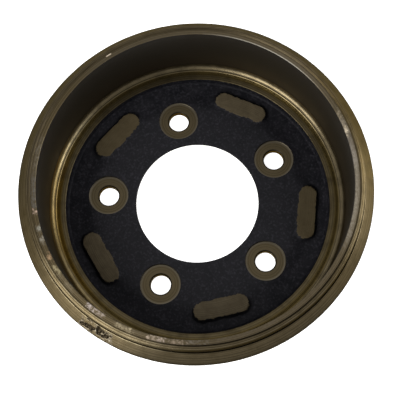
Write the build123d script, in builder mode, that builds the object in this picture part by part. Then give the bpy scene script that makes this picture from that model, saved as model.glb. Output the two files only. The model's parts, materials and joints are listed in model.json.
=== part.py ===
from build123d import *

from math import cos, radians, tan
import os

# Brake drum, one grey-iron casting for a 9 inch brake on a five-stud hub.
# It stands on its wheel face with the open end up. The rim, the friction surface, the
# corner ledge, the pads, the nut seats and both faces at the studs are turned or
# milled. The rest of the web and the outer wall are left as cast.
# Origin: centre of the wheel face. +Z runs up the bore. Millimetres.

# ---- Driving dimensions: the drum as a whole ----
FRICTION_DIAMETER = 228.6  # what the shoes run on: 9 inches
DRUM_HEIGHT = 69.0  # wheel face to the top of the rim

# ---- Web ----
BORE_DIAMETER = 95.0
BORE_CHAMFER = 0.8
WEB_THICKNESS = 8.7  # as cast, round the bore
CHANNEL_DEPTH = 2.3  # how far the as-cast web dips before the ledge
CHANNEL_WIDTH = 9.2  # level bottom of that dip, in from the ledge's foot
SLOPE_WIDTH = 12.0  # the slope between the channel and the level web
LEDGE_WIDTH = 11.9  # turned corner ledge, in from the friction surface
LEDGE_RISE = 2.7  # ledge above the as-cast web
LEDGE_DRAFT = 1.0  # how far its cast step leans inwards on the way down
LEDGE_FOOT = 1.2  # 45 degree foot of that step
CORNER_BEVEL = 4.4  # 45 degree cut between the ledge and the friction surface
CORNER_RADIUS = 4.5  # where that cut runs into the friction surface
CORNER_EASE = 1.9  # where it runs onto the ledge, along both

# ---- Studs and their seats ----
STUD_COUNT = 5
STUD_CIRCLE_DIAMETER = 139.7  # 5.5 inches
STUD_HOLE_DIAMETER = 15.5
STUD_HOLE_CHAMFER = 1.0
NUT_SEAT_DIAMETER = 31.2
NUT_SEAT_DEPTH = 2.7  # below the as-cast web
FIRST_STUD_ANGLE = 90.0

# ---- Hub pads, one midway between each two studs ----
PAD_INSET = 5.9  # middle of a pad, in from the foot of the web's slope
PAD_LENGTH = 42.4
PAD_WIDTH = 14.0
PAD_RISE = 0.4  # milled top above the as-cast web
PAD_SIDE_ANGLE = 35.0  # draft of the cast sides

# ---- Rim, outwards from the friction surface ----
MOUTH_BEVEL = 0.6
INNER_LAND_WIDTH = 3.3
INNER_LAND_FALL = 0.8  # the worn land slopes down to the mouth
RIM_GROOVE_WIDTH = 0.8  # V groove
RIM_GROOVE_DEPTH = 0.9
OUTER_LAND_WIDTH = 3.0
OUTER_LAND_BREAK = 0.4
OUTER_LAND_RISE = 0.5  # above the top of the worn land
STEP_DEPTH = 7.2  # rim top down to the brim
STEP_GROOVE_WIDTH = 0.8  # V groove at the foot of the step
STEP_GROOVE_DEPTH = 0.7
BRIM_FACE_WIDTH = 6.6  # sloping face, measured across the drum
BRIM_FACE_FALL = 6.2
BRIM_EDGE_BREAK = 0.4
BRIM_EDGE_HEIGHT = 2.8

# ---- Outside, as cast ----
WALL_THICKNESS = 7.7  # round the friction surface, under the brim
WALL_DRAFT_ANGLE = 1.0
BRIM_UNDERSIDE_ANGLE = 42.0  # slope from the brim's lip down to the wall
BRIM_LIP_CHAMFER = 0.7
BRIM_ROOT_RADIUS = 4.0
CLOSED_END_BEVEL = 9.0  # 45 degree corner of the closed end
CLOSED_END_RADIUS = 4.5  # where that bevel meets the wall
CLOSED_END_EASE = 1.9  # where it meets the end, along both
CAST_END_WIDTH = 11.0  # as-cast ring between that bevel and the wheel face
WHEEL_FACE_RISE = 1.2  # turned wheel face, proud of the as-cast end

# ---- Worked out from the sizes above: radii ----
bore_radius = BORE_DIAMETER / 2
friction_radius = FRICTION_DIAMETER / 2
stud_circle_radius = STUD_CIRCLE_DIAMETER / 2
ledge_radius = friction_radius - LEDGE_WIDTH
channel_radius = ledge_radius - LEDGE_DRAFT - LEDGE_FOOT
slope_end_radius = channel_radius - CHANNEL_WIDTH
slope_start_radius = slope_end_radius - SLOPE_WIDTH
pad_radius = slope_end_radius - PAD_INSET
mouth_radius = friction_radius + MOUTH_BEVEL
inner_land_radius = mouth_radius + INNER_LAND_WIDTH
outer_land_radius = inner_land_radius + RIM_GROOVE_WIDTH
step_radius = outer_land_radius + OUTER_LAND_WIDTH + OUTER_LAND_BREAK
brim_face_radius = step_radius + STEP_GROOVE_WIDTH
brim_radius = brim_face_radius + BRIM_FACE_WIDTH + BRIM_EDGE_BREAK
wall_radius = friction_radius + WALL_THICKNESS

# ---- Heights above the wheel face ----
web_z = WEB_THICKNESS
channel_z = web_z - CHANNEL_DEPTH
seat_z = web_z - NUT_SEAT_DEPTH
pad_z = web_z + PAD_RISE
ledge_z = web_z + LEDGE_RISE
worn_land_z = DRUM_HEIGHT - OUTER_LAND_RISE
mouth_z = worn_land_z - INNER_LAND_FALL
step_z = DRUM_HEIGHT - STEP_DEPTH
brim_edge_z = step_z - BRIM_FACE_FALL
brim_lip_z = brim_edge_z - BRIM_EDGE_BREAK - BRIM_EDGE_HEIGHT
brim_root_z = brim_lip_z - (brim_radius - wall_radius) * tan(radians(BRIM_UNDERSIDE_ANGLE))

# ---- Closed end ----
wall_draft = (brim_root_z - WHEEL_FACE_RISE) * tan(radians(WALL_DRAFT_ANGLE))
wall_foot_radius = wall_radius - wall_draft
end_radius = wall_foot_radius - CLOSED_END_BEVEL
wheel_face_radius = end_radius - CAST_END_WIDTH - WHEEL_FACE_RISE
end_ease = CLOSED_END_EASE * cos(radians(45))
corner_ease = CORNER_EASE * cos(radians(45))

# ---- The casting: one turned section, revolved ----
outside = [
    (bore_radius + BORE_CHAMFER, 0),
    (wheel_face_radius, 0),
    (wheel_face_radius + WHEEL_FACE_RISE, WHEEL_FACE_RISE),
    (end_radius - CLOSED_END_EASE, WHEEL_FACE_RISE),
    (end_radius + end_ease, WHEEL_FACE_RISE + end_ease),
    (wall_foot_radius, WHEEL_FACE_RISE + CLOSED_END_BEVEL),
    (wall_radius, brim_root_z),
    (brim_radius - BRIM_LIP_CHAMFER, brim_lip_z - BRIM_LIP_CHAMFER),
    (brim_radius, brim_lip_z),
    (brim_radius, brim_edge_z - BRIM_EDGE_BREAK),
]
outside_radii = [0, 0, 0, 0, CLOSED_END_RADIUS, BRIM_ROOT_RADIUS, 0, 0]

rim = [
    (brim_radius, brim_edge_z - BRIM_EDGE_BREAK),
    (brim_radius - BRIM_EDGE_BREAK, brim_edge_z),
    (brim_face_radius, step_z),
    (step_radius, step_z - STEP_GROOVE_DEPTH),
    (step_radius, DRUM_HEIGHT - OUTER_LAND_BREAK),
    (step_radius - OUTER_LAND_BREAK, DRUM_HEIGHT),
    (outer_land_radius, DRUM_HEIGHT),
    ((outer_land_radius + inner_land_radius) / 2, worn_land_z - RIM_GROOVE_DEPTH),
    (inner_land_radius, worn_land_z),
    (mouth_radius, mouth_z),
    (friction_radius, mouth_z - MOUTH_BEVEL),
]

corner = [
    (friction_radius, mouth_z - MOUTH_BEVEL),
    (friction_radius, ledge_z + CORNER_BEVEL),
    (friction_radius - CORNER_BEVEL + corner_ease, ledge_z + corner_ease),
    (friction_radius - CORNER_BEVEL - CORNER_EASE, ledge_z),
    (ledge_radius, ledge_z),
]
corner_radii = [CORNER_RADIUS, 0, 0]

web = [
    (ledge_radius, ledge_z),
    (ledge_radius - LEDGE_DRAFT, channel_z + LEDGE_FOOT),
    (channel_radius, channel_z),
    (slope_end_radius, channel_z),
    (slope_start_radius, web_z),
    (bore_radius + BORE_CHAMFER, web_z),
]

bore = [
    (bore_radius + BORE_CHAMFER, web_z),
    (bore_radius, web_z - BORE_CHAMFER),
    (bore_radius, BORE_CHAMFER),
    (bore_radius + BORE_CHAMFER, 0),
]

with BuildPart() as brake_drum:
    with BuildSketch(Plane.XZ):
        with BuildLine():
            FilletPolyline(*outside, radius=outside_radii)
            Polyline(*rim)
            FilletPolyline(*corner, radius=corner_radii)
            Polyline(*web)
            Polyline(*bore)
        make_face()
    revolve(axis=Axis.Z)

    # Hub pads: milled flat on top, cast sides that run down into the channel
    first_pad_angle = FIRST_STUD_ANGLE + 180 / STUD_COUNT
    with BuildSketch(Plane.XY.offset(pad_z)):
        with PolarLocations(pad_radius, STUD_COUNT, start_angle=first_pad_angle):
            SlotOverall(PAD_LENGTH, PAD_WIDTH, rotation=90)
    extrude(amount=-(pad_z - seat_z), taper=-PAD_SIDE_ANGLE)

    # Nut seats and stud holes
    with Locations(Plane.XY.offset(pad_z)):
        with PolarLocations(stud_circle_radius, STUD_COUNT, start_angle=FIRST_STUD_ANGLE):
            CounterBoreHole(
                radius=STUD_HOLE_DIAMETER / 2,
                counter_bore_radius=NUT_SEAT_DIAMETER / 2,
                counter_bore_depth=pad_z - seat_z,
            )
    hole_rims = (
        brake_drum.edges()
        .filter_by(GeomType.CIRCLE)
        .filter_by(lambda e: abs(e.radius - STUD_HOLE_DIAMETER / 2) < 0.01)
    )
    chamfer(hole_rims, STUD_HOLE_CHAMFER)

brake_drum.part.label = "brake_drum"

os.makedirs("parts", exist_ok=True)
export_step(brake_drum.part, "parts/brake_drum.step")
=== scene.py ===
# Brake drum: one grey iron casting, open end up, on a white studio floor.
# The CAD solid gives the sizes. The drum's visible skin is turned from its section, given the cast and
# milled relief of the real surface, and cut by five stud holes with their nut seats.

import json
import math

import bmesh
import bpy
import numpy as np
from mathutils import Matrix, Vector

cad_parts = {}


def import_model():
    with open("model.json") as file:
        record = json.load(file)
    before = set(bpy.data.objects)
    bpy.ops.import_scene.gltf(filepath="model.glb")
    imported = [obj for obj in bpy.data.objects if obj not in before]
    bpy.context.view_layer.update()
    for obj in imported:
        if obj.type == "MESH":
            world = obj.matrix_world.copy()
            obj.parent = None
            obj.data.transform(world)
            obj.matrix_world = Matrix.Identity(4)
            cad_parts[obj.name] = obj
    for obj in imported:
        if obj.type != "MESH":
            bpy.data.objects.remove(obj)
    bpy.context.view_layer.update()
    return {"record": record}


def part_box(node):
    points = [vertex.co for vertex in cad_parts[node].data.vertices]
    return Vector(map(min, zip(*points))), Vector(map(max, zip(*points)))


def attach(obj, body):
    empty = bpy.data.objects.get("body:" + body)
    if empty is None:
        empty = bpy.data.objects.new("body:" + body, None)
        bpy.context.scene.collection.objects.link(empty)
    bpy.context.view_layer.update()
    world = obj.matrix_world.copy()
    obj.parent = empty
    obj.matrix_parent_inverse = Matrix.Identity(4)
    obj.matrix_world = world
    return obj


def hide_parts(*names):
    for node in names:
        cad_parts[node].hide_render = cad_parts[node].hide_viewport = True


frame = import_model()

MM = 0.001

# ---------------------------------------------------------------- sizes from the frame, in millimetres
MOUNTS = {mount["name"]: mount for mount in frame["record"]["mounts"]}
LOW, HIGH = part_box("brake_drum")

DRUM_HEIGHT = (HIGH[2] - LOW[2]) / MM
BRIM_RADIUS = (HIGH[0] - LOW[0]) / 2 / MM
BORE_RADIUS = MOUNTS["centre_bore"]["dims"]["r_mm"]
FRICTION_RADIUS = MOUNTS["friction_surface"]["dims"]["r_mm"]
STUD_CIRCLE_RADIUS = MOUNTS["stud_holes"]["dims"]["pcd_mm"] / 2
STUD_HOLE_RADIUS = MOUNTS["stud_holes"]["dims"]["hole_r_mm"]
STUD_COUNT = MOUNTS["stud_holes"]["dims"]["count"]
PAD_RADIUS = abs(MOUNTS["hub_pads"]["pos_m"][1]) / MM
PAD_HEIGHT = MOUNTS["hub_pads"]["pos_m"][2] / MM

FIRST_STUD = math.radians(90)
STUD_PITCH = 2 * math.pi / STUD_COUNT
FIRST_PAD = FIRST_STUD + STUD_PITCH / 2

# The web, from the bore to the corner
BORE_BREAK, BORE_FOOT_BREAK = 0.7, 0.6
PLATEAU_HEIGHT = 8.7
CHANNEL_HEIGHT = 6.4
SLOPE_START, SLOPE_END = 77.5, 92.5
CHANNEL_END = 100.2
LEDGE_FOOT_RADIUS, LEDGE_FOOT_HEIGHT = 101.4, 7.6
LEDGE_RADIUS, LEDGE_HEIGHT = 102.4, 11.4
TOOL_LINE_RADII = (107.3, 108.1)
# the turned corner between ledge and wall, with the step a tool left: (back from the wall, above the ledge)
CORNER = [(5.0, 0.0), (4.75, 0.08), (4.45, 0.34), (4.2, 0.42), (3.92, 0.39), (3.35, 0.42), (2.8, 0.56),
          (2.15, 0.96), (1.55, 1.5), (1.0, 2.2), (0.55, 3.05), (0.2, 4.1), (0.05, 5.4), (0.0, 6.8)]
PAD_HALF_LENGTH, PAD_HALF_WIDTH = 21.2, 7.0
PAD_DRAFT = math.tan(math.radians(35))
# where the cutter reached on each pad: (shift out from the bore, half width)
PADS_AS_MILLED = [(-0.15, 7.3), (0.4, 7.0), (-0.9, 6.8), (0.0, 6.6), (1.0, 6.6)]
SEAT_RADIUS, SEAT_HEIGHT = 15.6, 6.0
HOLE_CHAMFER, HOLE_FOOT_CHAMFER = 0.9, 0.5

# The rim, from the mouth of the friction surface out to the brim's lip
FRICTION_END = 67.2
MOUTH_HEIGHT = 68.2
LAND_HEIGHT = 68.4
LAND_RADIUS = 118.2
LAND_GROOVE_EDGE, LAND_GROOVE_FLOOR = 68.3, 67.85
OUTER_LAND_START, OUTER_LAND = 119.3, 121.6
OUTER_LAND_FALL = 0.42
STEP_FOOT, STEP_GROOVE_FLOOR = 61.5, 61.1
BRIM_INNER, BRIM_TOP = 122.8, 61.8
BRIM_OUTER, BRIM_EDGE = 129.9, 55.5
BRIM_LIP_TOP, BRIM_LIP_FOOT = 54.0, 52.2

# The outside, from the brim's root down to the wheel face
WALL_RADIUS, BRIM_ROOT = 122.0, 45.0
CLOSED_RADIUS, BEVEL_TOP = 121.2, 10.2
CAST_END_RADIUS, CAST_END_HEIGHT = 112.3, 1.2
WHEEL_FACE_RADIUS = 100.0


# ---------------------------------------------------------------- the drum's section
def stretch(start, end, step):
    """Points from start towards end, about step apart, without the end."""
    count = max(1, round(math.dist(start, end) / step))
    return [(start[0] + (end[0] - start[0]) * i / count, start[1] + (end[1] - start[1]) * i / count)
            for i in range(count)]


def rounded(before, corner, after, radius, pieces=5):
    """Points of an arc that rounds the corner between two straight stretches."""
    a, b, c = Vector(before), Vector(corner), Vector(after)
    to_a, to_c = (a - b).normalized(), (c - b).normalized()
    half = to_a.angle(to_c) / 2
    reach = radius / math.tan(half)
    centre = b + (to_a + to_c).normalized() * radius / math.sin(half)
    start, end = b + to_a * reach - centre, b + to_c * reach - centre
    sweep = start.angle(end)
    arc = []
    for i in range(pieces + 1):
        part = sweep * i / pieces
        arm = (start * math.sin(sweep - part) + end * math.sin(part)) / math.sin(sweep)
        arc.append(tuple(centre + arm))
    return arc


def tool_line(radius):
    """A fine groove left by the tool in the corner ledge."""
    return [(radius, LEDGE_HEIGHT), (radius + 0.2, LEDGE_HEIGHT - 0.22), (radius + 0.4, LEDGE_HEIGHT)]


def turned_section():
    """The closed section as (radius, height): from the bore over the web, up the wall, round the outside."""
    friction = FRICTION_RADIUS
    plateau_edge = (BORE_RADIUS + BORE_BREAK, PLATEAU_HEIGHT)
    channel_edge = (CHANNEL_END, CHANNEL_HEIGHT)
    ledge_foot = (LEDGE_FOOT_RADIUS, LEDGE_FOOT_HEIGHT)
    ledge = (LEDGE_RADIUS, LEDGE_HEIGHT)
    corner = [(friction - back, LEDGE_HEIGHT + up) for back, up in CORNER]
    friction_end, mouth = (friction, FRICTION_END), (friction + 0.1, MOUTH_HEIGHT)
    land = (friction + 1.4, LAND_HEIGHT)
    groove = [(LAND_RADIUS - 0.35, LAND_GROOVE_EDGE), (LAND_RADIUS + 0.1, LAND_GROOVE_FLOOR),
              (LAND_RADIUS + 0.5, LAND_GROOVE_EDGE)]
    land_edge = (OUTER_LAND_START, DRUM_HEIGHT)
    step_edge = (OUTER_LAND, DRUM_HEIGHT - OUTER_LAND_FALL)
    step_foot, step_groove = (OUTER_LAND + 0.4, STEP_FOOT), (OUTER_LAND + 0.5, STEP_GROOVE_FLOOR)
    brim_top, brim_edge = (BRIM_INNER, BRIM_TOP), (BRIM_OUTER, BRIM_EDGE)
    lip_top, lip_foot = (BRIM_RADIUS, BRIM_LIP_TOP), (BRIM_RADIUS, BRIM_LIP_FOOT)
    brim_root, bevel_top = (WALL_RADIUS, BRIM_ROOT), (CLOSED_RADIUS, BEVEL_TOP)
    cast_end = (CAST_END_RADIUS, CAST_END_HEIGHT)
    face_step = (WHEEL_FACE_RADIUS + CAST_END_HEIGHT, CAST_END_HEIGHT)
    face_edge = (WHEEL_FACE_RADIUS, 0.0)
    # each entry: a list of points, then the step to the next entry. What stands before and after a
    # rounded corner only says which way its two sides run.
    runs = [
        ([(BORE_RADIUS, BORE_FOOT_BREAK), (BORE_RADIUS, PLATEAU_HEIGHT - BORE_BREAK)], 3.0),
        ([plateau_edge], 0.95),
        ([(CHANNEL_END, PLATEAU_HEIGHT)], 2.0),
        (rounded(channel_edge, ledge_foot, (102.3, 11), 0.6, 3), 0.7),
        (rounded((101.9, 9.5), ledge, corner[0], 0.5, 3), 0.8),
        (tool_line(TOOL_LINE_RADII[0]), 0.3),
        (tool_line(TOOL_LINE_RADII[1]), 0.4),
        (corner, 9.0),
        ([friction_end], 0.5),
        (rounded((friction, 60), mouth, land, 0.5, 3), 0.6),
        (groove, 0.4),
        (rounded((118.7, LAND_HEIGHT), land_edge, (122, step_edge[1]), 0.25, 3), 0.7),
        (rounded(land_edge, step_edge, (OUTER_LAND + 0.2, 66), 0.45, 4), 1.3),
        ([step_foot, step_groove], 0.4),
        (rounded((OUTER_LAND + 0.6, STEP_GROOVE_FLOOR), brim_top, (126, 59), 0.3, 3), 0.8),
        (rounded(brim_top, brim_edge, lip_top, 0.3, 3), 0.9),
        (rounded(lip_top, lip_foot, (126, 48.5), 0.7, 3), 1.5),
        (rounded((126, 48.6), brim_root, (WALL_RADIUS - 0.3, 30), 4.0, 5), 2.2),
        (rounded((CLOSED_RADIUS + 0.1, 20), bevel_top, (112.5, CAST_END_HEIGHT), 4.5, 4), 1.5),
        (rounded((CLOSED_RADIUS + 0.1, BEVEL_TOP), cast_end, (105, CAST_END_HEIGHT), 4.5, 4), 2.6),
        ([face_step, face_edge], 9.0),
        ([(BORE_RADIUS + BORE_FOOT_BREAK, 0.0)], 1.0),
    ]
    section = []
    for i, (points, step) in enumerate(runs):
        following = runs[(i + 1) % len(runs)][0][0]
        section += points[:-1] + stretch(points[-1], following, step)
    return section


# ---------------------------------------------------------------- Geometry Nodes helpers
def add(tree, kind, inputs=None, **settings):
    """One node: its settings, then its inputs by name or index, each a value or another node's socket."""
    node = tree.nodes.new(kind)
    for name, value in settings.items():
        setattr(node, name, value)
    for name, value in (inputs or {}).items():
        if isinstance(value, bpy.types.NodeSocket):
            tree.links.new(value, node.inputs[name])
        else:
            node.inputs[name].default_value = value
    return node


def geometry_tree(name, sizes):
    """An empty tree with geometry in and out, a material and the named sizes as inputs."""
    tree = bpy.data.node_groups.new(name, "GeometryNodeTree")
    tree.interface.new_socket("Geometry", in_out="INPUT", socket_type="NodeSocketGeometry")
    tree.interface.new_socket("Geometry", in_out="OUTPUT", socket_type="NodeSocketGeometry")
    tree.interface.new_socket("Finish", in_out="INPUT", socket_type="NodeSocketMaterial")
    for size, value in sizes.items():
        kind = "NodeSocketInt" if isinstance(value, int) else "NodeSocketFloat"
        tree.interface.new_socket(size, in_out="INPUT", socket_type=kind)
    given = tree.nodes.new("NodeGroupInput")
    return tree, given


def finish_tree(tree, given, geometry):
    """Ends a tree with real meshes in one finish."""
    real = add(tree, "GeometryNodeRealizeInstances", {"Geometry": geometry})
    finished = add(tree, "GeometryNodeSetMaterial",
                   {"Geometry": real.outputs[0], "Material": given.outputs["Finish"]})
    out = tree.nodes.new("NodeGroupOutput")
    tree.links.new(finished.outputs[0], out.inputs[0])


def grown(obj, tree, finish, sizes):
    """Runs the tree on obj and keeps the result as obj's plain mesh."""
    modifier = obj.modifiers.new(tree.name, "NODES")
    modifier.node_group = tree
    values = {"Finish": finish, **sizes}
    for item in tree.interface.items_tree:
        if item.in_out == "INPUT" and item.name in values:
            modifier[item.identifier] = values[item.name]
    obj.update_tag()
    shown = obj.evaluated_get(bpy.context.evaluated_depsgraph_get())
    mesh = bpy.data.meshes.new_from_object(shown)
    obj.modifiers.remove(modifier)
    old = obj.data
    obj.data = mesh
    bpy.data.meshes.remove(old)


def new_object(name, vertices, edges=(), faces=()):
    mesh = bpy.data.meshes.new(name)
    mesh.from_pydata(vertices, edges, faces)
    obj = bpy.data.objects.new(name, mesh)
    bpy.context.scene.collection.objects.link(obj)
    return obj


# ---------------------------------------------------------------- 1. the turned body
def turning_tree(sizes):
    """Carries the section once round the drum's axis."""
    tree, given = geometry_tree("turned_from_section", sizes)
    section = add(tree, "GeometryNodeMeshToCurve", {"Mesh": given.outputs["Geometry"]})
    path = add(tree, "GeometryNodeCurvePrimitiveCircle",
               {"Resolution": given.outputs["Steps Round"], "Radius": given.outputs["Path Radius"]})
    skin = add(tree, "GeometryNodeCurveToMesh",
               {"Curve": path.outputs[0], "Profile Curve": section.outputs[0]})
    finish_tree(tree, given, skin.outputs[0])
    return tree


def turned_drum(finish):
    sizes = {"Steps Round": 460, "Path Radius": 100 * MM}
    section = turned_section()
    # the path circle turns a profile's y axis to point down
    points = [(r * MM - sizes["Path Radius"], -z * MM, 0) for r, z in section]
    edges = [(i, (i + 1) % len(points)) for i in range(len(points))]
    obj = new_object("drum_casting", points, edges)
    grown(obj, turning_tree(sizes), finish, sizes)
    return obj


# ---------------------------------------------------------------- 2. cast and milled relief
def hashed(cells, seed):
    """A repeatable random value from 0 to 1 for each whole-numbered cell."""
    primes = np.array([73856093, 19349663, 83492791])[:cells.shape[1]]
    mixed = cells.astype(np.int64) @ primes + seed * 7919
    mixed = (mixed ^ (mixed >> 13)) * 1274126177 & 0xFFFFFFFF
    mixed = (mixed ^ (mixed >> 15)) * 2246822519 & 0xFFFFFFFF
    return ((mixed ^ (mixed >> 12)) & 0xFFFFFF) / float(0xFFFFFF)


def grain(points, size, seed):
    """Smooth noise from -1 to 1 with lumps of about that size."""
    scaled = points / size
    cell = np.floor(scaled)
    t = scaled - cell
    t = t * t * (3 - 2 * t)
    total = np.zeros(len(points))
    for corner in np.ndindex(*(2,) * points.shape[1]):
        offset = np.array(corner)
        weight = np.prod(np.where(offset == 1, t, 1 - t), axis=1)
        total += weight * hashed(cell + offset, seed)
    return total * 2 - 1


def smooth(value, low, high):
    t = np.clip((value - low) / (high - low), 0, 1)
    return t * t * (3 - 2 * t)


def folded(x, y, first):
    """Turns each point back into the nearest of the five sectors centred on first: (radial, sideways)."""
    angle = np.arctan2(y, x) - first
    angle -= np.round(angle / STUD_PITCH) * STUD_PITCH
    radius = np.hypot(x, y)
    return radius * np.cos(angle), radius * np.sin(angle)


def pad_distance(x, y):
    """Distance outside the nearest pad's outline, negative within it, and how far towards the bore."""
    out, side = folded(x, y, FIRST_PAD)
    number = np.round((np.arctan2(y, x) - FIRST_PAD) / STUD_PITCH).astype(int) % STUD_COUNT
    shift, half_width = np.array(PADS_AS_MILLED)[number].T
    past = np.maximum(np.abs(side) - (PAD_HALF_LENGTH - PAD_HALF_WIDTH), 0)
    return np.hypot(past, out - PAD_RADIUS - shift) - half_width, PAD_RADIUS + shift - out


def cast_height(x, y):
    """The as-cast web, before the pads are milled: plateau, slope, channel and the five pads' lumps."""
    flat = np.stack([x, y], axis=1)
    radius = np.hypot(x, y)
    height = PLATEAU_HEIGHT - (PLATEAU_HEIGHT - CHANNEL_HEIGHT) * smooth(radius, SLOPE_START, SLOPE_END)
    height += 0.10 * grain(flat, 9.0, 1) + 0.07 * grain(flat, 3.1, 2) + 0.05 * grain(flat, 1.3, 3)
    distance, inward = pad_distance(x, y)
    wander = 0.35 * grain(flat, 4.0, 4) + 0.18 * grain(flat, 1.6, 5)
    toward_bore = smooth(inward, 1.0, PAD_HALF_WIDTH)
    distance = distance + wander * (0.3 + 1.0 * toward_bore)
    lump = PAD_HEIGHT + 0.35 - np.maximum(distance, 0) / (PAD_DRAFT * (1 + 2.4 * toward_bore))
    lump = lump - 0.35 * smooth(distance, -1.1, 0.4)
    return np.maximum(height, lump)


# Chips on the brim's slope: (compass angle, how far out from the step in mm, radius in mm, depth in mm)
BRIM_CHIPS = [
    (220.9, 0.7, 1.3, 0.5), (222.1, 0.6, 1.1, 0.4), (219.9, 8.0, 1.8, 0.8), (221.2, 7.0, 2.0, 1.0),
    (222.4, 6.2, 2.1, 1.0), (223.5, 5.4, 1.6, 0.8), (225.1, 1.9, 1.5, 0.6), (225.7, 3.7, 2.4, 1.1),
    (226.8, 3.2, 1.9, 0.9), (225.9, 7.0, 1.7, 0.8), (228.3, 5.4, 2.1, 1.1), (228.4, 2.9, 1.4, 0.5),
    (227.4, 6.8, 1.4, 0.8), (223.2, 8.7, 0.9, 0.4), (229.8, 3.6, 0.9, 0.4), (219.0, 4.8, 0.8, 0.35),
    (4.9, -8.2, 1.0, 0.5), (110.8, -6.4, 0.9, 0.5),
]

# Pale crumbs of broken iron between them: (compass angle, how far out from the step in mm, radius in mm)
PALE_CRUMBS = [
    (222.4, 2.5, 1.2), (224.2, 0.6, 1.0), (224.5, 6.0, 0.8), (219.6, 2.6, 0.9),
    (229.3, 2.2, 0.9), (229.9, 7.4, 0.7), (226.9, 5.4, 0.7), (223.6, 2.9, 1.0),
]


def spots(x, y, z, places, roughness):
    """For each listed spot, how far every point is from it in spot radii, ragged by noise; and its depth."""
    angle = np.degrees(np.arctan2(y, x)) % 360
    radius = np.hypot(x, y)
    down = (radius - BRIM_INNER) * math.sqrt(2)
    spot = np.stack([x, y, z], axis=1)
    ragged = roughness * (0.5 * grain(spot, 1.3, 41) + 0.5 * grain(spot, 2.6, 43))
    for centre, out, size, *rest in places:
        along = np.radians((angle - centre + 180) % 360 - 180) * radius
        yield np.hypot(along, down - out) / size + ragged, rest


def chips(x, y, z):
    """Depth of the broken spots at each point in mm, and how pale its crumbs are from 0 to 1."""
    depth, pale = np.zeros(len(x)), np.zeros(len(x))
    for distance, (deep,) in spots(x, y, z, BRIM_CHIPS, 0.65):
        depth = np.maximum(depth, deep * (1 - smooth(distance, 0.35, 1.25)))
    for distance, _none in spots(x, y, z, PALE_CRUMBS, 0.9):
        pale = np.maximum(pale, 1 - smooth(distance, 0.3, 1.1))
    angle = np.degrees(np.arctan2(y, x)) % 360
    down = (np.hypot(x, y) - BRIM_INNER) * math.sqrt(2)
    scuffed = (1 - smooth(np.abs(angle - 224.5), 5.5, 7.5)) * smooth(down, 0.2, 1.0)
    depth += 0.16 * scuffed * (0.5 + 0.5 * grain(np.stack([x, y, z], axis=1), 1.6, 42))
    return depth, pale


def refine(obj, where, cuts):
    """Divides the faces in one place, so that small breaks have a real shape."""
    work = bmesh.new()
    work.from_mesh(obj.data)
    edges = [edge for edge in work.edges if all(where(v.co / MM) for v in edge.verts)]
    bmesh.ops.subdivide_edges(work, edges=edges, cuts=cuts, use_grid_fill=True)
    work.to_mesh(obj.data)
    work.free()


def on_chipped_brim(place):
    angle = math.degrees(math.atan2(place.y, place.x)) % 360
    radius = math.hypot(place.x, place.y)
    return 213 < angle < 235 and place.z > BRIM_LIP_TOP - 0.5 and radius > BRIM_INNER - 0.4


def relief(obj):
    """Moves the turned skin to the real surface: cast web and wall, milled pads, worn and chipped brim."""
    mesh = obj.data
    count = len(mesh.vertices)
    place = np.empty(count * 3)
    mesh.vertices.foreach_get("co", place)
    place = place.reshape(-1, 3) / MM
    x, y, z = place.T
    radius = np.hypot(x, y)
    milled, thick_paint = np.zeros(count), np.zeros(count)

    on_web = (radius > BORE_RADIUS + 0.3) & (radius < CHANNEL_END + 0.1) & (z > 5)
    wx, wy = x[on_web].copy(), y[on_web].copy()
    step = 0.05
    for _ in range(2):  # draws near vertices onto the pads' outline, so that it runs clean
        distance, _inward = pad_distance(wx, wy)
        gx = (pad_distance(wx + step, wy)[0] - distance) / step
        gy = (pad_distance(wx, wy + step)[0] - distance) / step
        pull = np.where(np.abs(distance) < 0.42, distance, 0)
        wx, wy = wx - gx * pull, wy - gy * pull
    height = cast_height(wx, wy)
    near_edge = smooth(np.hypot(wx, wy), CHANNEL_END - 1.5, CHANNEL_END)
    near_bore = 1 - smooth(np.hypot(wx, wy), BORE_RADIUS + 0.5, BORE_RADIUS + 3)
    bore_edge = z[on_web] + 0.12 * grain(np.stack([wx, wy], axis=1), 3, 7)
    height = height * (1 - near_bore) + bore_edge * near_bore
    height = height * (1 - near_edge) + CHANNEL_HEIGHT * near_edge
    x[on_web], y[on_web] = wx, wy
    z[on_web] = np.minimum(height, PAD_HEIGHT)
    milled[on_web] = np.clip((height - PAD_HEIGHT + 0.10) / 0.2, 0, 1)
    distance, inward = pad_distance(wx, wy)
    # painted shade: the web just outside each pad's outer side and ends is darkened, as if shadowed by the
    # pad
    thick_paint[on_web] = (1 - smooth(distance, 0.5, 5.0)) * (1 - smooth(inward, 1.0, 5.0))

    angle = np.arctan2(y, x)
    around = np.stack([x, y, z], axis=1)
    on_wall = (radius > FRICTION_RADIUS + 2) & (z < BRIM_LIP_FOOT - 0.7)
    on_end = (radius > WHEEL_FACE_RADIUS + 1.5) & (z < 5)
    as_cast = (z > CAST_END_HEIGHT - 0.2) & (on_wall | on_end)
    shift = 0.12 * grain(around, 6.0, 21) + 0.08 * grain(around, 2.2, 22)
    shift = np.where(as_cast, shift, 0)
    # the machined rim is knocked and worn along its edges
    rim = (z > BRIM_LIP_FOOT - 0.2) & (radius > FRICTION_RADIUS + 1.0)
    edge_wear = 0.05 * grain(around, 5.0, 31) + 0.03 * grain(around, 1.8, 32) - 0.05
    broken, pale = (np.where(rim, values, 0) for values in chips(x, y, z))
    shift += np.where(rim, edge_wear, 0) - broken * math.sqrt(0.5)
    z -= broken * math.sqrt(0.5)
    x += np.cos(angle) * shift
    y += np.sin(angle) * shift

    mesh.vertices.foreach_set("co", (np.stack([x, y, z], axis=1) * MM).ravel())
    tags = {"milled": milled, "thick_paint": thick_paint, "chipped": broken, "pale": pale}
    for name, values in tags.items():
        mesh.attributes.new(name, "FLOAT", "POINT").data.foreach_set("value", values)
    mesh.update()


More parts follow.
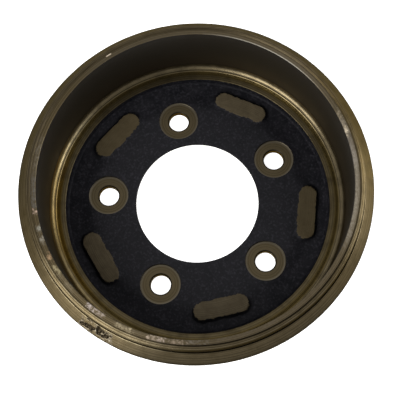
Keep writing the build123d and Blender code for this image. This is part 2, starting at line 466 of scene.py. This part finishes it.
# ---------------------------------------------------------------- 3. stud holes and nut seats
def cutter(profile, steps=72):
    """A turned cutter from (radius, height) points, closed at both ends."""
    vertices, faces = [], []
    for r, h in profile:
        for i in range(steps):
            a = 2 * math.pi * i / steps
            vertices.append((r * MM * math.cos(a), r * MM * math.sin(a), h * MM))
    for row in range(len(profile) - 1):
        for i in range(steps):
            j = (i + 1) % steps
            faces.append((row * steps + i, row * steps + j, (row + 1) * steps + j, (row + 1) * steps + i))
    faces.append(tuple(range(steps - 1, -1, -1)))
    faces.append(tuple((len(profile) - 1) * steps + i for i in range(steps)))
    return new_object("stud_hole_cutter", vertices, (), faces)


def drilling_tree(tool, sizes):
    """Repeats the cutter round the stud circle and takes it out of the drum."""
    tree, given = geometry_tree("drilled_on_stud_circle", sizes)
    circle = add(tree, "GeometryNodeMeshCircle",
                 {"Vertices": given.outputs["Stud Count"], "Radius": given.outputs["Circle Radius"]})
    spin = add(tree, "ShaderNodeCombineXYZ", {"Z": given.outputs["First Angle"]})
    turned = add(tree, "GeometryNodeTransform",
                 {"Geometry": circle.outputs[0], "Rotation": spin.outputs[0]})
    shape = add(tree, "GeometryNodeObjectInfo", {"Object": tool})
    tools = add(tree, "GeometryNodeInstanceOnPoints",
                {"Points": turned.outputs[0], "Instance": shape.outputs["Geometry"]})
    real = add(tree, "GeometryNodeRealizeInstances", {"Geometry": tools.outputs[0]})
    cut = add(tree, "GeometryNodeMeshBoolean", operation="DIFFERENCE", solver="EXACT")
    tree.links.new(given.outputs["Geometry"], cut.inputs["Mesh 1"])
    tree.links.new(real.outputs[0], cut.inputs["Mesh 2"])
    finish_tree(tree, given, cut.outputs[0])
    return tree


def drill(obj, finish):
    hole, seat = STUD_HOLE_RADIUS, SEAT_RADIUS
    above_web, below_face = 14.0, -1.0
    tool = cutter([(hole + 1.5, below_face), (hole + HOLE_FOOT_CHAMFER, 0.0), (hole, HOLE_FOOT_CHAMFER),
                   (hole, SEAT_HEIGHT - HOLE_CHAMFER), (hole + HOLE_CHAMFER, SEAT_HEIGHT),
                   (seat - 0.35, SEAT_HEIGHT), (seat, SEAT_HEIGHT + 0.35), (seat + 0.08, above_web)])
    sizes = {"Stud Count": STUD_COUNT, "Circle Radius": STUD_CIRCLE_RADIUS * MM, "First Angle": FIRST_STUD}
    grown(obj, drilling_tree(tool, sizes), finish, sizes)
    bpy.data.objects.remove(tool)


# ---------------------------------------------------------------- materials
def srgb(code):
    """A hex colour as the linear values that Blender works in."""
    parts = [int(code[i:i + 2], 16) / 255 for i in (1, 3, 5)]
    return tuple(c / 12.92 if c <= 0.04045 else ((c + 0.055) / 1.055) ** 2.4 for c in parts) + (1.0,)


class Finish:
    """A material being built: one Principled shader and short calls for the patterns that feed it."""

    def __init__(self, name, roughness, metallic=0.0, specular=0.5, brushed=0.0, edge="#ffffff"):
        self.material = bpy.data.materials.new(name)
        self.material.use_nodes = True
        self.tree = self.material.node_tree
        self.shader = self.tree.nodes["Principled BSDF"]
        values = {"Roughness": roughness, "Metallic": metallic, "Specular IOR Level": specular,
                  "Anisotropic": brushed, "Anisotropic Rotation": 0.25, "Specular Tint": srgb(edge)}
        for socket, value in values.items():
            self.shader.inputs[socket].default_value = value
        if brushed:  # the tool marks run round the drum's axis
            rings = self.add("ShaderNodeTangent", direction_type="RADIAL", axis="Z")
            self.tree.links.new(rings.outputs[0], self.shader.inputs["Tangent"])
        self.place = self.add("ShaderNodeTexCoord").outputs["Object"]
        split = self.add("ShaderNodeSeparateXYZ", {0: self.place})
        self.x, self.y, self.z = split.outputs

    def add(self, kind, inputs=None, **settings):
        return add(self.tree, kind, inputs, **settings)

    def math(self, operation, a, b=0.0):
        return self.add("ShaderNodeMath", {0: a, 1: b}, operation=operation).outputs[0]

    def radius(self, x=None, y=None):
        x, y = x or self.x, y or self.y
        squares = self.math("ADD", self.math("MULTIPLY", x, x), self.math("MULTIPLY", y, y))
        return self.math("SQRT", squares)

    def noise(self, size_mm, detail=3.0, roughness=0.55, seed=0.0):
        """Noise from 0 to 1 with lumps of that size."""
        return self.add("ShaderNodeTexNoise",
                        {"Vector": self.place, "W": seed, "Scale": 1 / (size_mm * MM), "Detail": detail,
                         "Roughness": roughness}, noise_dimensions="4D").outputs[0]

    def lines(self, across, pitch_mm):
        """Tool marks: noise that changes only along one measure, such as the radius."""
        return self.add("ShaderNodeTexNoise", {"W": across, "Scale": 1 / (pitch_mm * MM), "Detail": 4.0},
                        noise_dimensions="1D").outputs[0]

    def ramp(self, factor, *stops):
        """Numbers or colours at positions along factor."""
        node = self.add("ShaderNodeValToRGB", {0: factor})
        elements = node.color_ramp.elements
        while len(elements) < len(stops):
            elements.new(0.5)
        for element, (position, value) in zip(elements, stops):
            element.position = position
            element.color = srgb(value) if isinstance(value, str) else (value, value, value, 1.0)
        return node.outputs[0]

    def sector(self, centre, half, soft):
        """1 within half degrees of a compass angle round the drum, fading to 0 over soft degrees."""
        cos, sin = math.cos(math.radians(centre)), math.sin(math.radians(centre))
        along = self.math("ADD", self.math("MULTIPLY", self.x, cos), self.math("MULTIPLY", self.y, sin))
        across = self.math("SUBTRACT", self.math("MULTIPLY", self.y, cos),
                           self.math("MULTIPLY", self.x, sin))
        angle = self.math("ABSOLUTE", self.math("ARCTAN2", across, along))
        return self.add("ShaderNodeMapRange", {0: angle, 1: math.radians(half), 2: math.radians(half + soft),
                                               3: 1.0, 4: 0.0}).outputs[0]

    def ring(self, radius_mm, inside_mm, outside_mm, strength=1.0):
        """Strength on a ring of that radius, fading to 0 between two distances from it."""
        away = self.math("ABSOLUTE", self.math("SUBTRACT", self.radius(), radius_mm * MM))
        return self.add("ShaderNodeMapRange", {0: away, 1: inside_mm * MM, 2: outside_mm * MM,
                                               3: strength, 4: 0.0}).outputs[0]

    def stirred(self, value, size_mm, amount, detail, seed):
        """A value moved up and down by noise, by amount from end to end."""
        noise = self.math("SUBTRACT", self.noise(size_mm, detail, seed=seed), 0.5)
        return self.math("ADD", value, self.math("MULTIPLY", noise, amount))

    def mix(self, factor, a, b):
        """A colour mix; a and b are hex codes or sockets."""
        a, b = (srgb(c) if isinstance(c, str) else c for c in (a, b))
        return self.add("ShaderNodeMix", {0: factor, 6: a, 7: b}, data_type="RGBA").outputs[2]

    def over(self, colour, tint, *masks):
        """Lays a tint over a colour where all the masks meet, each a socket or a number."""
        where = masks[0]
        for mask in masks[1:]:
            where = self.math("MULTIPLY", where, mask)
        return self.mix(where, colour, tint)

    def bump(self, height, depth_mm, normal=None):
        node = self.add("ShaderNodeBump", {"Height": height, "Strength": 1.0, "Distance": depth_mm * MM})
        if normal:
            self.tree.links.new(normal, node.inputs["Normal"])
        return node.outputs[0]

    def feed(self, **sockets):
        """Links patterns to the shader, by input name with _ for a space."""
        for name, socket in sockets.items():
            self.tree.links.new(socket, self.shader.inputs[name.replace("_", " ")])
        return self.material


# The sand grain of the casting and the turning marks are finer than the render shows: marks of about
# 0.2 mm are drawn 0.5 to 0.8 mm apart, and grain of about 0.4 mm is drawn 1 to 2 mm wide.


def painted_casting():
    """Sandy cast iron under thin black paint, with bare milled iron where the cutter reached."""
    f = Finish("black_paint_on_cast_iron", roughness=0.55, specular=0.06)
    sand = f.noise(1.7, 3.0, 0.6, seed=3)
    # painted shade: the paint darkens outwards from the plateau into the channel beside the wall
    shade_towards_channel = f.add("ShaderNodeMapRange", {0: f.radius(), 1: 74 * MM, 2: 94 * MM}).outputs[0]
    paint = f.mix(shade_towards_channel, "#131315", "#0a0a0d")
    paint = f.over(paint, "#19181b", f.ramp(f.noise(9.0, 4.0), (0.4, 0.0), (0.7, 0.6)))
    paint = f.over(paint, "#29282c", f.ramp(sand, (0.50, 0.0), (0.72, 0.75)))
    # painted shade: the paint darkens just outside the pads' outer sides and ends
    pad_shade = f.add("ShaderNodeAttribute", attribute_name="thick_paint").outputs["Fac"]
    paint = f.over(paint, "#050506", pad_shade, 0.75)
    milled = f.add("ShaderNodeAttribute", attribute_name="milled").outputs["Fac"]
    bare = f.ramp(f.stirred(milled, 1.1, 0.5, 3.0, seed=5), (0.40, 0.0), (0.55, 1.0))
    marks = f.lines(f.radius(), 0.55)
    iron = f.mix(f.ramp(marks, (0.3, 0.0), (0.7, 1.0)), "#383125", "#4b4333")
    iron = f.over(iron, "#332c20", f.ramp(f.noise(6.0, 4.0, seed=12), (0.4, 0.0), (0.7, 0.7)))
    # the milled iron on the pads at 126 and 342 degrees is made darker
    darkened_sector = f.math("MAXIMUM", f.sector(126, 18, 8), f.sector(342, 18, 8))
    iron = f.over(iron, "#2b2310", darkened_sector, 0.45)
    relief_paint = f.bump(f.noise(1.0, 3.0, seed=6), 0.12)
    relief_all = f.bump(f.math("MULTIPLY", marks, bare), 0.02, relief_paint)
    return f.feed(Base_Color=f.mix(bare, paint, iron), Normal=relief_all)


def corner_iron():
    """The turned ledge and corner: dark olive iron with golden rings beside the corner's bright sweep, with
    painted highlights and painted shade on the corner in some sectors.
    """
    f = Finish("turned_corner_iron", roughness=0.32, metallic=1.0, brushed=0.6, edge="#c4beb0")
    marks = f.lines(f.math("ADD", f.radius(), f.z), 0.5)
    from_wall = f.math("SUBTRACT", FRICTION_RADIUS, f.math("DIVIDE", f.radius(), MM))
    ledge_share = f.math("DIVIDE", from_wall, 12.0)
    sweep = f.add("ShaderNodeMapRange", {0: from_wall, 1: 4.6, 2: 3.4}).outputs[0]
    dark, light = f.mix(sweep, "#3a3122", "#42392a"), f.mix(sweep, "#61573f", "#6d634c")
    colour = f.mix(f.ramp(marks, (0.3, 0.0), (0.7, 1.0)), dark, light)
    golden = f.ramp(ledge_share, (0.38, 0.0), (0.44, 0.7), (0.60, 0.7), (0.76, 0.0))
    inner = f.ramp(ledge_share, (0.29, 0.0), (0.33, 0.45), (0.40, 0.45), (0.46, 0.0))
    highlight_band = f.ramp(ledge_share, (0.15, 0.0), (0.20, 1.0), (0.30, 1.0), (0.36, 0.0))
    shaded_band = f.ramp(ledge_share, (0.08, 0.0), (0.12, 0.35), (0.21, 0.35), (0.25, 0.0))
    colour = f.over(colour, "#4a3d1a", golden)
    colour = f.over(colour, "#4e3a0c", golden, f.sector(180, 22, 20))
    colour = f.over(colour, "#4e3a0c", inner, f.sector(176, 12, 12))
    # painted highlight: the corner's curve is made lighter and warmer round 182 degrees
    colour = f.over(colour, "#725f34", f.sector(182, 30, 16), sweep, 0.55)
    # painted shade on the whole corner round 100 degrees
    colour = f.over(colour, "#241f16", f.sector(100, 14, 22), 0.35)
    # painted shade on a band beside the wall round 168 degrees
    colour = f.over(colour, "#241f16", shaded_band, f.sector(168, 18, 12))
    # painted highlights on a band of the corner's curve round 141 and 202 degrees
    colour = f.over(colour, "#9a8e70", highlight_band, f.sector(141, 8, 10), 0.42)
    colour = f.over(colour, "#9a8e70", highlight_band, f.sector(202, 7, 8), 0.25)
    colour = f.over(colour, "#241f16", f.ramp(f.noise(8.0, 4.0, seed=2), (0.45, 0.0), (0.7, 0.5)))
    ragged = f.math("ADD", f.radius(), f.math("MULTIPLY", f.noise(2.0, 3.0, seed=8), 0.8 * MM))
    unpainted = f.add("ShaderNodeMapRange", {0: ragged, 1: (LEDGE_RADIUS + 0.1) * MM,
                                             2: (LEDGE_RADIUS + 1.1) * MM}).outputs[0]
    colour = f.mix(unpainted, "#0b0a0a", colour)
    bump = f.bump(marks, 0.03, f.bump(f.noise(1.2, 3.0, seed=4), 0.012))
    return f.feed(Base_Color=colour, Normal=bump)


# Painted highlights: pale iron along the rim's edges, shown only on the sides that face the lamps: (radius,
# strength)
EDGE_HIGHLIGHTS = [(LAND_RADIUS + 0.4, 0.5), (LAND_RADIUS + 1.1, 0.8),
              (OUTER_LAND - 0.1, 0.5), (BRIM_INNER + 0.2, 0.6)]
# Painted shade along the rim's edges and grooves, each in one sector: (radius, strength, the sector it
# fills)
EDGE_SHADES = [(LAND_RADIUS + 0.7, 0.5, (50, 24, 18)), (BRIM_INNER + 0.1, 0.35, (50, 24, 18)),
                (LAND_RADIUS + 0.9, 0.5, (160, 10, 14))]
# Sectors where the rim is tinted golden-brown: (compass angle, half its length, fade, strength)
GOLDEN_TINT_SECTORS = [(3, 12, 20, 0.32), (205, 18, 20, 0.12), (322, 10, 12, 0.12)]


def rim_iron():
    """The turned rim and brim: olive-brown iron in fine rings, crumbled in the chips, with painted
    highlights and painted shade along its edges and painted shade below the land.
    """
    f = Finish("turned_rim_iron", roughness=0.37, metallic=1.0, brushed=0.85, edge="#c4beb0")
    marks = f.lines(f.math("SUBTRACT", f.radius(), f.math("MULTIPLY", f.z, 0.6)), 0.7)
    colour = f.mix(f.ramp(marks, (0.38, 0.0), (0.62, 1.0)), "#312a1d", "#5f5541")
    # the two sides of the rim that face the lamps, where its edges get painted highlights
    bright = f.math("MAXIMUM", f.sector(218, 20, 18), f.math("MULTIPLY", f.sector(345, 16, 14), 0.6))
    broken = f.ramp(f.noise(9.0, 4.0, seed=20), (0.35, 0.3), (0.6, 1.0))
    # painted highlights along the edges, broken up by noise
    for edge, strength in EDGE_HIGHLIGHTS:
        colour = f.over(colour, "#8a7f66", f.ring(edge, 0.15, 0.5, strength), bright, broken)
    # painted shade: these edges are darkened in one sector each
    for edge, strength, where in EDGE_SHADES:
        colour = f.over(colour, "#1b1610", f.ring(edge, 0.3, 0.7, strength), f.sector(*where))
    # painted shade: the step wall and groove below the land are darkened a little all round and most round
    # 285 degrees
    below_land = f.add("ShaderNodeMapRange", {0: f.z, 1: 68.6 * MM, 2: 68.2 * MM}).outputs[0]
    inside_brim = f.math("LESS_THAN", f.radius(), (BRIM_INNER + 0.1) * MM)
    darkened_sector = f.add("ShaderNodeMapRange", {0: f.sector(285, 28, 22), 3: 0.05, 4: 0.85}).outputs[0]
    colour = f.over(colour, "#1b1610", below_land, inside_brim, darkened_sector)
    dulled = f.add("ShaderNodeMapRange", {0: f.radius(), 1: 123.2 * MM, 2: 129.0 * MM, 4: 0.5}).outputs[0]
    colour = f.over(colour, "#29251c", dulled)
    colour = f.over(colour, "#1d1c1b", f.sector(150, 20, 24), 0.22)
    lip = f.add("ShaderNodeMapRange", {0: f.radius(), 1: 129.1 * MM, 2: 129.7 * MM, 4: 0.8}).outputs[0]
    colour = f.over(colour, "#120f0a", lip, f.sector(280, 60, 30))
    for angle, half, soft, strength in GOLDEN_TINT_SECTORS:
        colour = f.over(colour, "#5f4e26", f.sector(angle, half, soft), strength)
    colour = f.over(colour, "#332c1d", f.ramp(f.noise(7.0, 4.0, seed=2), (0.45, 0.0), (0.7, 0.5)))
    colour = f.over(colour, "#241d12", f.ramp(f.noise(1.8, 5.0, 0.65, seed=7), (0.62, 0.0), (0.70, 0.6)))
    chip = f.add("ShaderNodeAttribute", attribute_name="chipped").outputs["Fac"]
    crumbs = f.stirred(chip, 1.0, 0.35, 4.0, seed=14)
    colour = f.over(colour, "#665f53", f.ramp(crumbs, (0.07, 0.0), (0.16, 0.7), (0.34, 0.0)))
    colour = f.over(colour, "#221d16", f.ramp(chip, (0.12, 0.0), (0.50, 0.9)))
    pale = f.add("ShaderNodeAttribute", attribute_name="pale").outputs["Fac"]
    dust = f.stirred(pale, 0.8, 1.0, 4.0, seed=15)
    colour = f.over(colour, "#7f7868", f.ramp(dust, (0.35, 0.0), (1.1, 0.6)))
    bump = f.bump(marks, 0.03, f.bump(f.noise(1.2, 3.0, seed=4), 0.012))
    return f.feed(Base_Color=colour, Normal=bump)


def plain_turned_iron():
    """The wheel face, turned flat and given a light film of oil."""
    f = Finish("turned_wheel_face", roughness=0.4, metallic=0.75, brushed=0.5)
    marks = f.lines(f.radius(), 0.6)
    colour = f.mix(f.ramp(marks, (0.3, 0.0), (0.7, 1.0)), "#3a3222", "#544a36")
    return f.feed(Base_Color=colour, Normal=f.bump(marks, 0.012))


def bore_iron():
    """The bored centre hole: clean bright iron that mirrors what lies under the drum."""
    f = Finish("bored_bright_iron", roughness=0.22, metallic=1.0)
    marks = f.lines(f.z, 0.6)
    colour = f.mix(f.ramp(marks, (0.3, 0.0), (0.7, 1.0)), "#d2d0cb", "#e9e8e4")
    return f.feed(Base_Color=colour, Normal=f.bump(marks, 0.004))


def spot_faced_seat():
    """The nut seats: rings centred on each stud hole, found by folding the drum's five sectors onto one."""
    f = Finish("spot_faced_nut_seat", roughness=0.45, metallic=1.0, edge="#c8b890")
    angle = f.math("ARCTAN2", f.y, f.x)
    offset = f.math("SUBTRACT", angle, FIRST_STUD)
    turns = f.math("ROUND", f.math("DIVIDE", offset, STUD_PITCH))
    local = f.math("SUBTRACT", offset, f.math("MULTIPLY", turns, STUD_PITCH))
    reach_out = f.math("MULTIPLY", f.radius(), f.math("COSINE", local))
    out = f.math("SUBTRACT", reach_out, STUD_CIRCLE_RADIUS * MM)
    side = f.math("MULTIPLY", f.radius(), f.math("SINE", local))
    ring = f.radius(out, side)
    marks = f.lines(ring, 0.5)
    colour = f.mix(f.ramp(marks, (0.3, 0.0), (0.7, 1.0)), "#312a1f", "#4e4634")
    reach = f.math("DIVIDE", ring, SEAT_RADIUS * MM)
    wall = f.ramp(reach, (0.54, 1.0), (0.56, 0.0))
    colour = f.over(colour, "#26231d", wall)
    rim_line = f.ramp(reach, (0.89, 0.0), (0.93, 0.5), (1.0, 0.4))
    colour = f.over(colour, "#625c50", rim_line)
    return f.feed(Base_Color=colour, Normal=f.bump(marks, 0.02))


def ground_friction():
    """The friction surface: finely ground iron, dark with oil, a little lighter towards the mouth."""
    f = Finish("ground_friction_surface", roughness=0.5, metallic=0.3, specular=0.2)
    marks = f.lines(f.z, 0.8)
    rise = f.add("ShaderNodeMapRange", {0: f.z, 1: 20 * MM, 2: 66 * MM}).outputs[0]
    colour = f.ramp(rise, (0.0, "#1b150d"), (0.55, "#1a160f"), (1.0, "#1f1b15"))
    colour = f.over(colour, "#332c20", f.ramp(marks, (0.45, 0.0), (0.8, 0.3)))
    return f.feed(Base_Color=colour, Normal=f.bump(marks, 0.006))


# Oxide and rust on the rim's inner land, and in the first entry a painted highlight round 342 degrees:
# (compass angle, half its length in degrees, strength, colour)
LAND_STAINS_AND_HIGHLIGHT = [
    (342.0, 15.0, 0.85, "#7c7569"), (2.0, 7.0, 0.6, "#77716a"), (5.8, 0.9, 1.0, "#b9ac95"),
    (10.0, 2.5, 0.6, "#8d826d"), (28.0, 14.0, 0.3, "#5f5a50"), (75.0, 38.0, 0.25, "#5e5951"),
    (158.0, 5.0, 0.5, "#6a655c"), (171.0, 4.5, 0.9, "#575551"), (178.8, 0.4, 1.0, "#9b8676"),
    (185.6, 0.8, 0.8, "#87857a"), (189.4, 1.0, 0.75, "#7f7a6e"), (196.4, 0.8, 0.8, "#92785c"),
    (202.0, 1.5, 0.7, "#918769"), (208.0, 3.0, 0.5, "#736a58"), (219.4, 1.3, 0.9, "#978d88"),
    (222.8, 1.9, 0.7, "#9a8e84"), (233.2, 2.2, 0.8, "#968a70"), (243.3, 0.7, 0.9, "#a19180"),
    (246.6, 1.6, 0.9, "#9b8d80"), (252.4, 1.4, 0.8, "#8f8070"), (258.5, 3.0, 0.6, "#6c665d"),
    (275.0, 9.0, 0.5, "#5c5448"), (303.0, 16.0, 0.4, "#635a4c"), (240.0, 9.0, 0.12, "#8b8272"),
]


NICK_RADIUS, NICK_ANGLE = 117.4, 110.9


def worn_land():
    """The inner land of the rim: turned like the rest, hazed with pale oxide and a little orange rust, with
    painted highlights round 342 degrees and on the mouth's edge round 50 degrees, and painted shade in the
    groove round 285 degrees.
    """
    f = Finish("worn_rim_land", roughness=0.42, metallic=0.85, brushed=0.7, edge="#c4beb0")
    radius = f.radius()
    marks = f.lines(radius, 0.7)
    colour = f.mix(f.ramp(marks, (0.3, 0.0), (0.7, 1.0)), "#332b1c", "#524834")
    mouth_edge_highlight = f.add("ShaderNodeMapRange", {0: radius, 1: (FRICTION_RADIUS + 0.5) * MM,
                                              2: (FRICTION_RADIUS + 1.0) * MM, 3: 0.3, 4: 0.0}).outputs[0]
    mottle = f.ramp(f.noise(2.6, 5.0, 0.65, seed=1), (0.36, 0.2), (0.60, 1.0))
    specks = f.ramp(f.noise(1.5, 4.0, 0.6, seed=10), (0.42, 0.1), (0.56, 1.0))
    near_mouth = f.add("ShaderNodeMapRange", {0: radius, 1: (FRICTION_RADIUS + 1.6) * MM,
                                              2: LAND_RADIUS * MM, 3: 1.15, 4: 0.7475}).outputs[0]
    blotches = f.math("MULTIPLY", f.math("MULTIPLY", mottle, specks), near_mouth)
    haze_fade = f.add("ShaderNodeMapRange", {0: radius, 1: (FRICTION_RADIUS + 1.2) * MM,
                                             2: LAND_RADIUS * MM, 3: 0.9, 4: 0.3}).outputs[0]
    haze = f.math("MULTIPLY", f.ramp(f.noise(1.6, 5.0, 0.7, seed=1), (0.38, 0.4), (0.58, 1.0)), haze_fade)
    nick = f.math("MULTIPLY", f.ring(NICK_RADIUS, 0.3, 0.6), f.sector(NICK_ANGLE, 0.8, 0.4))
    groove = f.add("ShaderNodeMapRange", {0: radius, 1: (LAND_RADIUS - 0.5) * MM,
                                          2: (LAND_RADIUS - 0.1) * MM}).outputs[0]
    # from here on the place is stirred, so that stains end in ragged edges
    f.x, f.y = f.stirred(f.x, 2.4, 16 * MM, 3.0, seed=31), f.stirred(f.y, 2.4, 16 * MM, 3.0, seed=32)
    # the first entry, round 342 degrees, is a painted highlight; the rest are stains
    for angle, half, strength, stain_and_highlight in LAND_STAINS_AND_HIGHLIGHT:
        spread = haze if half > 6 else blotches
        colour = f.over(colour, stain_and_highlight, f.sector(angle, half, 0.6 + 0.45 * half), spread, strength)
    # painted highlight: a pale line along the mouth's rounded edge round 50 degrees
    colour = f.over(colour, "#8b8a85", f.sector(50.0, 14.0, 12.0), mouth_edge_highlight)
    colour = f.over(colour, "#c4b5a0", nick)
    # painted shade in the groove round 285 degrees
    colour = f.over(colour, "#1b1610", groove, f.sector(285, 28, 22))
    return f.feed(Base_Color=colour, Normal=f.bump(mottle, 0.02))


# ---------------------------------------------------------------- the whole drum
def assign_finishes(obj, finishes):
    """Gives each face its finish by where it lies on the drum."""
    mesh = obj.data
    mesh.materials.clear()
    names = list(finishes)
    for name in names:
        mesh.materials.append(finishes[name])
    count = len(mesh.polygons)
    centre, normal = np.empty(count * 3), np.empty(count * 3)
    mesh.polygons.foreach_get("center", centre)
    mesh.polygons.foreach_get("normal", normal)
    centre, normal = centre.reshape(-1, 3) / MM, normal.reshape(-1, 3)
    x, y, z = centre.T
    radius = np.hypot(x, y)
    out, side = folded(x, y, FIRST_STUD)
    from_hole = np.hypot(out - STUD_CIRCLE_RADIUS, side)
    index = np.full(count, names.index("painted"))

    def give(name, where):
        index[where] = names.index(name)

    give("corner", (radius > 102.3) & (radius < FRICTION_RADIUS - 0.01) & (z > 9.0) & (z < 20))
    give("friction", (np.abs(radius - FRICTION_RADIUS) < 0.6) & (z > 15.5) & (z < 67.3) & (radius < 114.7))
    give("land", (radius > 114.35) & (radius < LAND_RADIUS + 0.2) & (z > 67.2))
    give("rim", (radius > LAND_RADIUS + 0.2) & (z > 51.5))
    give("wheel_face", (z < 0.9) & (radius < 101.4))
    give("bore", (radius < BORE_RADIUS + 0.2) & (z > 0.1))
    give("seat", (from_hole < SEAT_RADIUS + 0.1) & (z < SEAT_HEIGHT + 0.4) & (z > 0.2))
    mesh.polygons.foreach_set("material_index", index.astype(np.int32))
    mesh.update()


def outward(obj):
    """Makes every face look out of the solid."""
    work = bmesh.new()
    work.from_mesh(obj.data)
    bmesh.ops.remove_doubles(work, verts=work.verts, dist=1e-6)
    # a vertex with two edges lets the faces beside it fold onto one line
    bmesh.ops.dissolve_verts(work, verts=[vert for vert in work.verts if len(vert.link_edges) == 2])
    bmesh.ops.recalc_face_normals(work, faces=work.faces)
    if work.calc_volume(signed=True) < 0:
        bmesh.ops.reverse_faces(work, faces=work.faces)
    work.to_mesh(obj.data)
    work.free()


finishes = {
    "painted": painted_casting(),
    "corner": corner_iron(),
    "wheel_face": plain_turned_iron(),
    "bore": bore_iron(),
    "rim": rim_iron(),
    "friction": ground_friction(),
    "land": worn_land(),
    "seat": spot_faced_seat(),
}

drum = turned_drum(finishes["painted"])
refine(drum, on_chipped_brim, 2)
relief(drum)
outward(drum)
drill(drum, finishes["painted"])
outward(drum)
assign_finishes(drum, finishes)
drum.data.shade_smooth()
drum.data.set_sharp_from_angle(angle=math.radians(32))

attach(drum, "root")
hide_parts("brake_drum")


# ---------------------------------------------------------------- studio
def seen_directly(tree):
    """1 for what the camera sees, and for what metal and glass mirror or show; 0 for light."""
    ray = tree.nodes.new("ShaderNodeLightPath").outputs
    seen = ray["Is Camera Ray"]
    for kind in ("Is Glossy Ray", "Is Transmission Ray"):
        seen = add(tree, "ShaderNodeMath", {0: seen, 1: ray[kind]}, operation="MAXIMUM").outputs[0]
    return seen


def studio_floor():
    """A white floor that shows pure white, keeps the drum's shadow and lights nothing."""
    half = 6.0
    below = -0.1 * MM
    corners = [(-half, -half, below), (half, -half, below), (half, half, below), (-half, half, below)]
    floor = new_object("studio_floor", corners, (), [(0, 1, 2, 3)])
    material = bpy.data.materials.new("white_studio_floor")
    material.use_nodes = True
    tree = material.node_tree
    tree.nodes.clear()
    glow = add(tree, "ShaderNodeEmission", {"Color": (1, 1, 1, 1), "Strength": 0.92})
    cloth = add(tree, "ShaderNodeBsdfDiffuse", {"Color": (0.8, 0.8, 0.8, 1)})
    both = add(tree, "ShaderNodeAddShader", {0: cloth.outputs[0], 1: glow.outputs[0]})
    pick = add(tree, "ShaderNodeMixShader",
               {0: seen_directly(tree), 1: cloth.outputs[0], 2: both.outputs[0]})
    out = tree.nodes.new("ShaderNodeOutputMaterial")
    tree.links.new(pick.outputs[0], out.inputs["Surface"])
    floor.data.materials.append(material)


def softbox(name, place, size, power, target=(0, 0, 0.03)):
    """A square area lamp that faces the drum."""
    data = bpy.data.lights.new(name, "AREA")
    data.shape, data.size, data.energy = "SQUARE", size, power
    lamp = bpy.data.objects.new(name, data)
    lamp.location = place
    lamp.rotation_euler = (Vector(place) - Vector(target)).to_track_quat("Z", "Y").to_euler()
    bpy.context.scene.collection.objects.link(lamp)


def around(azimuth, elevation, distance):
    """A place seen from the drum at that compass angle (degrees from +X) and height angle."""
    a, e = math.radians(azimuth), math.radians(elevation)
    level = distance * math.cos(e)
    return (level * math.cos(a), level * math.sin(a), distance * math.sin(e))


def camera():
    """The view from above and a little in front, 74 degrees up."""
    right, up = Vector((0.976344, -0.214066, -0.030482)), Vector((0.214063, 0.937042, 0.275916))
    data = bpy.data.cameras.new("view")
    data.sensor_width, data.lens = 36.0, 82.093
    data.clip_start, data.clip_end = 0.05, 50
    obj = bpy.data.objects.new("view", data)
    turn = Matrix((right, up, right.cross(up))).transposed()
    obj.matrix_world = Matrix.Translation((-0.019169, -0.194616, 0.691381)) @ turn.to_4x4()
    bpy.context.scene.collection.objects.link(obj)
    bpy.context.scene.camera = obj


def world():
    """Plain white surroundings: full strength where seen or mirrored, softer as light."""
    surroundings = bpy.data.worlds.new("white_studio")
    surroundings.use_nodes = True
    tree = surroundings.node_tree
    level = add(tree, "ShaderNodeMapRange", {0: seen_directly(tree), 3: 0.30, 4: 1.0})
    back = tree.nodes["Background"]
    back.inputs["Color"].default_value = (1, 1, 1, 1)
    tree.links.new(level.outputs[0], back.inputs["Strength"])
    bpy.context.scene.world = surroundings


studio_floor()
world()
softbox("key_front_left", around(206, 46, 1.5), 1.0, 31)
softbox("fill_right", around(0, 38, 1.6), 0.85, 17)
camera()
bpy.context.scene.view_settings.view_transform = "Standard"
